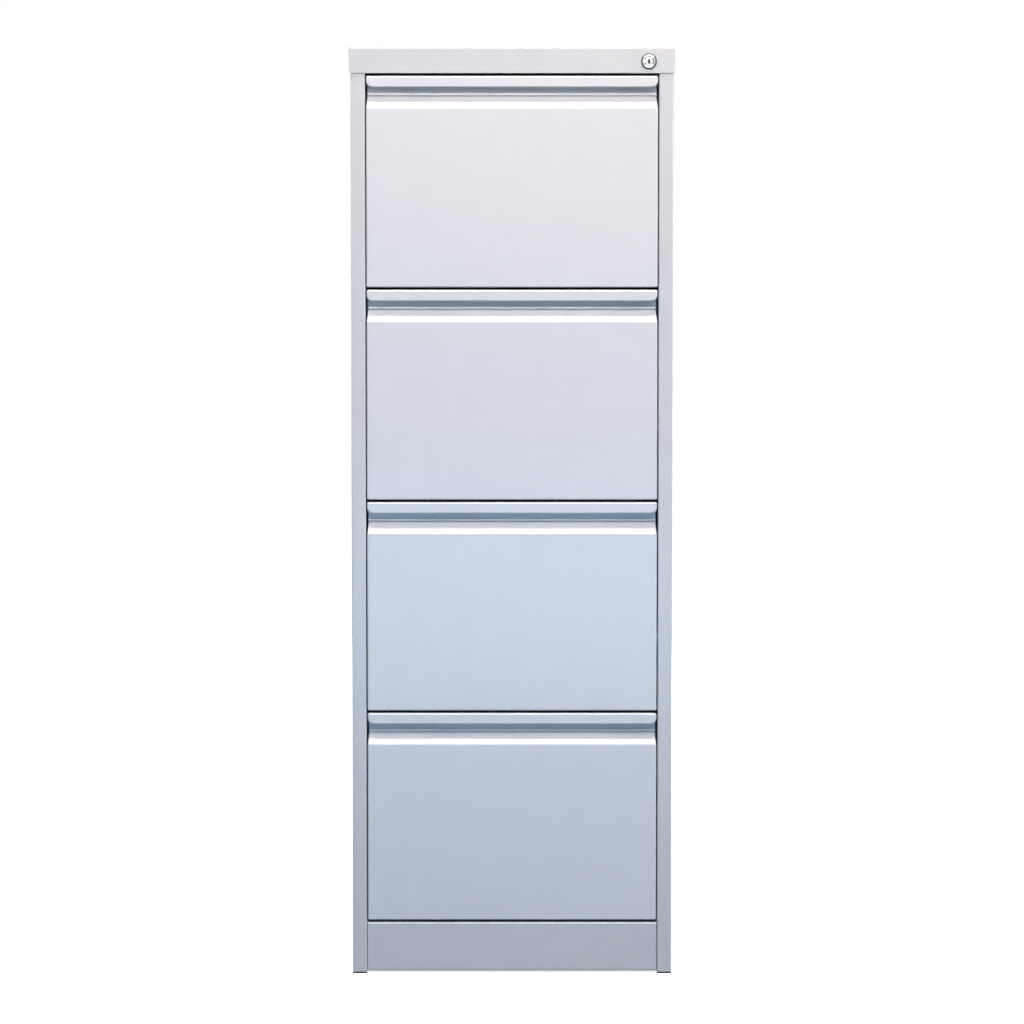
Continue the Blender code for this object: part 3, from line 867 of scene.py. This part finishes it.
def tray_mesh():
    """Folded tray with hanging rails along its sides, beads across its bottom and a back."""
    origin = drawer_origin(1)
    low = TRAY_BOX[0] - origin
    high = TRAY_BOX[1] - origin
    section = tray_section(low, high)
    half_bead = FLOOR_BEAD_WIDTH / 2
    stations = {low.y, high.y}
    for bead in FLOOR_BEADS:
        stations |= {bead + half_bead * k / 6 for k in range(-6, 7)}
    rows = []
    for y in sorted(stations):
        raised = sum(swell(y, bead, half_bead, FLOOR_BEAD_HEIGHT) for bead in FLOOR_BEADS)
        row = []
        for point in section:
            reach = min(1, max(0, (FLOOR_BEAD_END - abs(point.x)) / FLOOR_BEAD_TAPER))
            lift = raised * reach if abs(point.y - low.z) < 0.01 * MM else 0
            row.append((point.x, y, point.y + lift))
        rows.append(row)
    build = bmesh.new()
    add_grid(build, rows)
    mesh = thickened(to_mesh("tray", build))
    build = bmesh.new()
    build.from_mesh(mesh)
    add_tray_back(build, low, high)
    return to_mesh("tray", build)


def add_tray_back(build, low, high):
    """Adds the tray's back: a sheet with a folded top, and flanges that are welded to the sides."""
    face = high.y - 0.9 * MM
    top = high.z - TRAY_BACK_DROP
    path = [(face, low.z + SHEET + 0.1 * MM), (face, top), (face - TRAY_BACK_FOLD, top)]
    half = high.x - HANGER_WIDTH - 2 * MM
    add_drawn_out(build, folded_sheet(path, [BEND]), "X", (-half, half))
    flange_ends = (low.z + 6 * MM, top - 4 * MM)
    for side, _ in SIDES:
        outer = side * (high.x - SHEET - 0.1 * MM)
        flange = rectangle(
            (outer - side * SHEET, face - TRAY_BACK_FLANGE), (outer, face - 0.2 * MM)
        )
        add_drawn_out(build, flange, "Z", flange_ends)
        web = rectangle((side * half, face - SHEET), (outer, face))
        add_drawn_out(build, web, "Z", flange_ends)


# Slides


def rail_outline(low, high, opens_inward, raceway):
    """Section of a slide member: a web, two rounded raceways and lips turned over the balls."""
    web, edge = (high.x, low.x) if opens_inward else (low.x, high.x)
    lip_x = edge + (web - edge) * RACE_LIP_SHARE
    path = [
        (edge, low.z + RACE_LIP),
        (lip_x, low.z),
        (web, low.z),
        (web, high.z),
        (lip_x, high.z),
        (edge, high.z - RACE_LIP),
    ]
    if not opens_inward:
        path.reverse()
    radii = [1.0 * MM, raceway, raceway, 1.0 * MM]
    return folded_sheet(path, radii, RAIL_SHEET)


def slide_member(number, member, word, body, raceway):
    """One member of a slide, drawn out between its ends."""
    node = f"drawer_{number}_{member}_{word}"
    low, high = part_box(f"drawer_{number}_{member}_right")
    outline = rail_outline(low, high, member != "drawer_rail", raceway)
    if word == "left":
        outline = mirrored(outline)
    mesh = drawn_out_mesh(node, [outline], "Y", (low.y, high.y))
    add_piece(f"{node}_track", mesh, ZINC, body, node=node)


def ball_cage(name, radius, x, levels, ends, body):
    """Retainer strips with a row of balls above and below, between two members."""
    build = bmesh.new()
    step = (ends[1] - ends[0] - 2 * CAGE_MARGIN) / (BALLS_IN_ROW - 1)
    for z in levels:
        strip = rectangle((x - 0.25 * MM, z - 1.5 * MM), (x + 0.25 * MM, z + 1.5 * MM))
        add_drawn_out(build, strip, "Y", ends)
        for k in range(BALLS_IN_ROW):
            centre = Vector((x, ends[0] + CAGE_MARGIN + k * step, z))
            matrix = Matrix.Translation(centre)
            bmesh.ops.create_uvsphere(
                build, u_segments=14, v_segments=9, radius=radius, matrix=matrix
            )
    add_piece(name, to_mesh(name, build), BALLS, body)


def ball_cages(drawer, word):
    """Two cages of each slide. Both are kept on the middle member."""
    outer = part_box(f"{drawer}_cabinet_rail_{word}")
    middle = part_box(f"{drawer}_middle_rail_{word}")
    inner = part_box(f"{drawer}_drawer_rail_{word}")
    level = (middle[0].z + middle[1].z) / 2
    for label, around, within, span in (
        ("outer", outer, middle, OUTER_CAGE),
        ("inner", middle, inner, INNER_CAGE),
    ):
        roof = around[1].z - RAIL_SHEET
        bed = within[1].z
        radius = (roof - bed) / 2 - 0.05 * MM
        reach = (roof + bed) / 2 - level
        x = (within[0].x + within[1].x) / 2
        ends = (middle[0].y + span[0], middle[0].y + span[1])
        levels = (level + reach, level - reach)
        name = f"{drawer}_{label}_balls_{word}"
        ball_cage(name, radius, x, levels, ends, f"{drawer}_middle")


def upright_screws(drawer, side, word):
    """Screws that hold a slide's outer member to the uprights."""
    low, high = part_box(f"{drawer}_cabinet_rail_{word}")
    web = side * (max(abs(low.x), abs(high.x)) - RAIL_SHEET)
    build = bmesh.new()
    for end in ("front", "rear"):
        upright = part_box(f"{end}_{word}_upright")
        centre = (web, (upright[0].y + upright[1].y) / 2, (low.z + high.z) / 2)
        add_screw(build, centre, "X", SCREW_RADIUS, -side * SCREW_HEIGHT)
    add_piece(f"{drawer}_upright_screws_{word}", to_mesh("screws", build), ZINC, "cabinet")


def tray_screws(drawer, side, word):
    """Screws that hold a slide's inner member to the tray."""
    low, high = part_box(f"{drawer}_drawer_rail_{word}")
    web = side * (min(abs(low.x), abs(high.x)) + RAIL_SHEET)
    build = bmesh.new()
    for y in (low.y + 30 * MM, (low.y + high.y) / 2, high.y - 30 * MM):
        centre = (web, y, (low.z + high.z) / 2)
        add_screw(build, centre, "X", SCREW_RADIUS, side * SCREW_HEIGHT)
    add_piece(f"{drawer}_tray_screws_{word}", to_mesh("screws", build), ZINC, drawer)


def bumper(drawer, side, word):
    """Plastic stop at the rear of a slide, within its outer member."""
    low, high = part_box(f"{drawer}_cabinet_rail_{word}")
    level = (low.z + high.z) / 2
    sides = sorted((side * BUMPER_X[0], side * BUMPER_X[1]))
    block = rectangle(
        (sides[0], level - BUMPER_HEIGHT / 2), (sides[1], level + BUMPER_HEIGHT / 2)
    )
    rear = high.y - 0.5 * MM
    build = bmesh.new()
    add_drawn_out(build, block, "Y", (rear - BUMPER_LENGTH, rear))
    ease_cut_edges(build, 1.2 * MM)
    add_piece(f"{drawer}_bumper_{word}", to_mesh("bumper", build), PLASTIC, "cabinet")


def slides():
    """The telescopic slides of every drawer with their ball cages, screws and bumpers."""
    for number in DRAWERS:
        drawer = f"drawer_{number}"
        for side, word in SIDES:
            slide_member(number, "cabinet_rail", word, "cabinet", 2.4 * MM)
            slide_member(number, "middle_rail", word, f"{drawer}_middle", 2.0 * MM)
            slide_member(number, "drawer_rail", word, drawer, 2.0 * MM)
            ball_cages(drawer, word)
            upright_screws(drawer, side, word)
            tray_screws(drawer, side, word)
            bumper(drawer, side, word)


# Lock


def add_bezel_tooth(build, angle, ends):
    """Adds one of the pointed ribs around the lock's bezel."""
    half = 0.26 * math.tau / BEZEL_TEETH
    tooth = []
    for radius, shift in (
        (BEZEL - 0.3 * MM, -half),
        (BEZEL + 0.45 * MM, -half),
        (BEZEL + 0.7 * MM, 0),
        (BEZEL + 0.45 * MM, half),
        (BEZEL - 0.3 * MM, half),
    ):
        across = LOCK_POINT[0] + radius * math.cos(angle + shift)
        tooth.append((across, LOCK_POINT[1] + radius * math.sin(angle + shift)))
    add_drawn_out(build, tooth, "Y", ends)


def nut_mesh():
    """Hexagonal nut that clamps the lock from behind the apron."""
    near = CAP_BOX[0].y + SHEET + 0.2 * MM
    nut = circle(LOCK_POINT, NUT_RADIUS, 6)
    bore = circle(LOCK_POINT, BEZEL + 0.1 * MM, 48)
    mesh = drawn_out_mesh("nut", [nut], "Y", (near, near + NUT_HEIGHT))
    return cut_mesh(mesh, [bore], "Y", (near - 1 * MM, near + 5 * MM))


def lock_housing():
    """Lock barrel with a serrated bezel, and its nut."""
    low, high = HOUSING_BOX
    profile = [
        (PLUG_BORE, low.y + 0.5 * MM),
        (PLUG_BORE + 0.45 * MM, low.y + 0.1 * MM),
        (PLUG_BORE + 0.85 * MM, low.y),
        (BEZEL - 0.6 * MM, low.y),
        (BEZEL - 0.15 * MM, low.y + 0.15 * MM),
        (BEZEL, low.y + 0.5 * MM),
        (BEZEL, high.y),
        (PLUG_BORE, high.y),
    ]
    build = bmesh.new()
    add_spun(build, profile, "Y", LOCK_AXIS, 96)
    tooth_ends = (low.y + 0.6 * MM, GASKET_SEAT - 0.2 * MM)
    for k in range(BEZEL_TEETH):
        add_bezel_tooth(build, math.tau * k / BEZEL_TEETH, tooth_ends)
    build.from_mesh(nut_mesh())
    add_piece("lock_barrel", to_mesh("lock_barrel", build), CHROME, "cabinet", node="lock_housing")


def lock_gasket():
    """Black ring between the bezel and the apron, with a rounded outer edge."""
    outer = (HOUSING_BOX[1].x - HOUSING_BOX[0].x) / 2
    inner = outer - GASKET_WIDTH
    rounding = 0.8 * MM
    profile = [(inner, GASKET_SEAT), (inner, GASKET_SEAT - 1.3 * MM)]
    profile += arc((outer - rounding, GASKET_SEAT - 0.5 * MM), rounding, -90, 0, 6)
    profile.append((outer, GASKET_SEAT))
    build = bmesh.new()
    add_spun(build, profile, "Y", LOCK_AXIS, 96)
    add_piece("lock_gasket", to_mesh("lock_gasket", build), PLASTIC, "cabinet")


def keyway_section(share=1):
    """Diamond-shaped keyway with blunt ends, in the lock's face, or a share of its size."""
    corners = [
        (-2.1 * MM, 0.1 * MM),
        (-0.6 * MM, -3.2 * MM),
        (0.6 * MM, -3.2 * MM),
        (2.1 * MM, 0.1 * MM),
        (0.6 * MM, 3.3 * MM),
        (-0.6 * MM, 3.3 * MM),
    ]
    return [(LOCK_POINT[0] + share * x, LOCK_POINT[1] + share * z) for x, z in corners]


def lock_dust_shutter():
    """Black shutter that closes the keyway behind the plug's face, with the key's slot."""
    nose = CYLINDER_BOX[0].y
    x, z = LOCK_POINT
    slot = rectangle((x - 0.4 * MM, z - 2.3 * MM), (x + 0.4 * MM, z + 2.3 * MM))
    ends = (nose + 0.9 * MM, nose + 6 * MM)
    mesh = drawn_out_mesh("shutter", [keyway_section(0.97)], "Y", ends)
    mesh = cut_mesh(mesh, [slot], "Y", (nose, nose + 5 * MM))
    add_piece("lock_dust_shutter", mesh, PLASTIC, "lock_cylinder")


def plug_mesh():
    """Key plug with a slightly hollow face, cut by the keyway."""
    nose = CYLINDER_BOX[0].y
    rear = HOUSING_BOX[1].y + 1.3 * MM
    profile = [
        (0, nose + 0.25 * MM),
        (2.0 * MM, nose + 0.2 * MM),
        (5.3 * MM, nose),
        (5.75 * MM, nose + 0.12 * MM),
        (PLUG_RADIUS, nose + 0.5 * MM),
        (PLUG_RADIUS, rear),
        (0, rear),
    ]
    build = bmesh.new()
    add_spun(build, profile, "Y", LOCK_AXIS, 64)
    ends = (nose - 3 * MM, nose + 9 * MM)
    return cut_mesh(to_mesh("plug", build), [keyway_section()], "Y", ends)


def lock_cylinder():
    """Key plug, the cam behind it and the pin that moves the lock bar."""
    build = bmesh.new()
    build.from_mesh(plug_mesh())
    pin = [middle - CAM_THROW / math.sqrt(2) for middle in LOCK_POINT]
    cam = arc(LOCK_POINT, 5 * MM, -45, 135, 16) + arc(pin, 4 * MM, 135, 315, 16)
    cam_front = HOUSING_BOX[1].y + 0.5 * MM
    cam_rear = cam_front + 1.6 * MM
    add_drawn_out(build, cam, "Y", (cam_front, cam_rear))
    add_drawn_out(build, circle(pin, 2 * MM, 24), "Y", (cam_rear, CYLINDER_BOX[1].y))
    mesh = to_mesh("lock_plug", build)
    add_piece("lock_plug", mesh, CHROME, "lock_cylinder", node="lock_cylinder")


def lock_bar_guides():
    """Plastic guides on the front upright that the lock bar slides in."""
    low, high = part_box("lock_bar")
    left = GUIDE_X
    right = high.x + 0.5 * MM
    front = low.y - 1.2 * MM
    behind = high.y + 0.4 * MM
    rear = UPRIGHT_BOX[0].y - 0.3 * MM
    section = [
        (left - GUIDE_WALL, front),
        (left, front),
        (left, behind),
        (right, behind),
        (right, front),
        (right + GUIDE_WALL, front),
        (right + GUIDE_WALL, rear),
        (left - GUIDE_WALL, rear),
    ]
    for name, drawer in (("lower", 4), ("upper", 2)):
        bottom = drawer_origin(drawer).z + GUIDE_LEVEL
        ends = (bottom, bottom + GUIDE_HEIGHT)
        mesh = drawn_out_mesh("guide", [section], "Z", ends, 0.4 * MM)
        add_piece(f"lock_bar_guide_{name}", mesh, PLASTIC, "cabinet")


def stile_mark():
    """Shallow weld mark under the paint near the top of the right stile."""
    profile = [
        (0, 0.3 * MM),
        (MARK_RADIUS, 0.3 * MM),
        (MARK_RADIUS, 0),
        (3.2 * MM, -0.14 * MM),
        (2.6 * MM, -0.16 * MM),
        (2.1 * MM, -0.06 * MM),
        (0, -0.05 * MM),
    ]
    build = bmesh.new()
    add_spun(build, profile, "Y", (MARK_X, FACE, CAP_BOX[1].z - MARK_DROP), 32)
    add_piece("stile_weld_mark", to_mesh("stile_mark", build), PAINT_DARKENED_AS_PAINTED_SHADE, "cabinet")


def plain_steel_nodes():
    """CAD pieces whose shape is right: the lock bar and the drawers' catches."""
    names = ["lock_bar"] + [f"drawer_{number}_lock_catch" for number in DRAWERS]
    for name in names:
        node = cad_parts[name]
        node.data.materials.clear()
        node.data.materials.append(ZINC)
        modifier = node.modifiers.new("cut_edges", "BEVEL")
        modifier.width = 0.25 * MM
        modifier.segments = 2
        modifier.limit_method = "ANGLE"
        modifier.angle_limit = CUT_ANGLE


def drawers():
    """The pieces of each drawer, from meshes made once."""
    # The liners and trays take the paint that is darkened as painted shade.
    pieces = (
        ("front", "skin", front_mesh(), PAINT),
        ("pull", "channel", pull_mesh(), PAINT),
        ("inner_panel", "liner", inner_panel_mesh(), PAINT_DARKENED_AS_PAINTED_SHADE),
        ("tray", "box", tray_mesh(), PAINT_DARKENED_AS_PAINTED_SHADE),
    )
    for number in DRAWERS:
        body = f"drawer_{number}"
        for part, word, mesh, material in pieces:
            node = f"{body}_{part}"
            add_piece(f"{node}_{word}", mesh, material, body, drawer_origin(number), node)


# Stage


def aim(obj, target):
    """Turns a light to face a point."""
    direction = Vector(target) - obj.location
    obj.rotation_euler = direction.to_track_quat("-Z", "Y").to_euler()


def area_light(name, location, target, size, power, colour):
    """A soft box that lights the object and isn't seen itself."""
    light = bpy.data.lights.new(name, "AREA")
    light.shape = "RECTANGLE"
    light.size, light.size_y = size
    light.energy = power
    light.color = colour
    obj = new_object(name, light)
    obj.location = location
    aim(obj, target)
    obj.visible_camera = False
    return obj


def camera():
    """Long lens in front of the cabinet, near its top and tilted down a little."""
    data = bpy.data.cameras.new("camera")
    data.lens = CAMERA_LENS
    data.sensor_width = 36
    data.clip_end = 200
    obj = new_object("camera", data)
    obj.location = (0, FACE - CAMERA_DISTANCE, CAMERA_HEIGHT)
    obj.rotation_euler = (math.radians(90 - CAMERA_TILT), 0, 0)
    bpy.context.scene.camera = obj


def floor():
    """A plain pale floor that fades to white and keeps a soft contact shadow."""
    build = bmesh.new()
    bmesh.ops.create_grid(build, x_segments=1, y_segments=1, size=FLOOR_REACH)
    obj = new_object("floor", to_mesh("floor", build))
    shading = Shading("floor", (0.82, 0.82, 0.82), 0.9)
    shading.shader.inputs["Specular IOR Level"].default_value = 0.1
    shading.shader.inputs["Emission Color"].default_value = (1, 1, 1, 1)
    near = shading.nodes.new("ShaderNodeTexGradient")
    near.gradient_type = "SPHERICAL"
    shading.links.new(shading.stretched((0.4, 0.4, 0.4)), near.inputs["Vector"])
    shading.put("Emission Strength", shading.ranged(near.outputs["Fac"], 1.02, 0.72, 0.0, 1.0))
    obj.data.materials.append(shading.material)
    obj.visible_diffuse = False
    obj.visible_glossy = False


def surroundings():
    """White behind the object, and a dim, slightly blue room for its reflections."""
    world = bpy.data.worlds.new("surroundings")
    world.use_nodes = True
    nodes = world.node_tree.nodes
    links = world.node_tree.links
    room = nodes["Background"]
    room.inputs["Color"].default_value = (0.80, 0.86, 1.0, 1)
    room.inputs["Strength"].default_value = 0.1
    white = nodes.new("ShaderNodeBackground")
    white.inputs["Color"].default_value = (1, 1, 1, 1)
    seen = nodes.new("ShaderNodeLightPath").outputs["Is Camera Ray"]
    mix = nodes.new("ShaderNodeMixShader")
    links.new(seen, mix.inputs["Fac"])
    links.new(room.outputs["Background"], mix.inputs[1])
    links.new(white.outputs["Background"], mix.inputs[2])
    links.new(mix.outputs["Shader"], nodes["World Output"].inputs["Surface"])
    bpy.context.scene.world = world


def lights():
    """Warm light from above in front, cool light from farther off and from below, white soft boxes
    for the other sides, and panels that only show in the gloss."""
    warm = (1.0, 0.755, 0.53)
    cool = (0.62, 0.78, 0.97)
    white = (1.0, 1.0, 1.0)
    area_light("key", (0.25, -1.55, 2.05), (0, FACE, 1.1), (1.4, 0.35), 11.7, warm)
    area_light("key_soft", (0.35, -2.3, 2.25), (0, FACE, 1.0), (2.0, 1.0), 9.6, warm)
    area_light("steep", (0.1, -1.45, 5.2), (0, FACE, 0.75), (2.4, 0.5), 138, (1.0, 0.88, 0.82))
    area_light("sky", (0.3, -4.4, 4.2), (0, FACE, 0.6), (3.0, 2.0), 162, cool)
    area_light("low", (0, -2.7, 0.3), (0, FACE, 0.4), (2.2, 0.4), 15.5, (0.35, 0.68, 1.0))
    area_light("rear", (0, 4.0, 1.3), (0, 0.3, 0.7), (2.6, 1.6), 100, white)
    area_light("left_side", (-3.6, 0.5, 1.2), (0, 0.1, 0.7), (1.6, 1.4), 70, white)
    area_light("right_side", (3.6, -0.7, 1.0), (0, FACE, 0.7), (0.9, 2.0), 68, white)
    for name, place_at, size, power in (
        ("ceiling", (0, -2.6, 3.4), (3.4, 2.6), 190),
        ("card", (0, -7.0, 1.2), (3.0, 1.6), 16),
        ("edge", (3.2, -2.0, 1.2), (0.5, 2.6), 34),
    ):
        panel = area_light(name, place_at, (0, FACE, 0.8), size, power, white)
        panel.visible_diffuse = False


camera()
floor()
surroundings()
lights()
bpy.context.scene.view_settings.view_transform = "Standard"
top_cap()
side_panels()
back_panel()
back_rivets()
base_pan()
uprights()
glides()
drawers()
slides()
lock_housing()
lock_gasket()
lock_dust_shutter()
lock_cylinder()
lock_bar_guides()
stile_mark()
plain_steel_nodes()
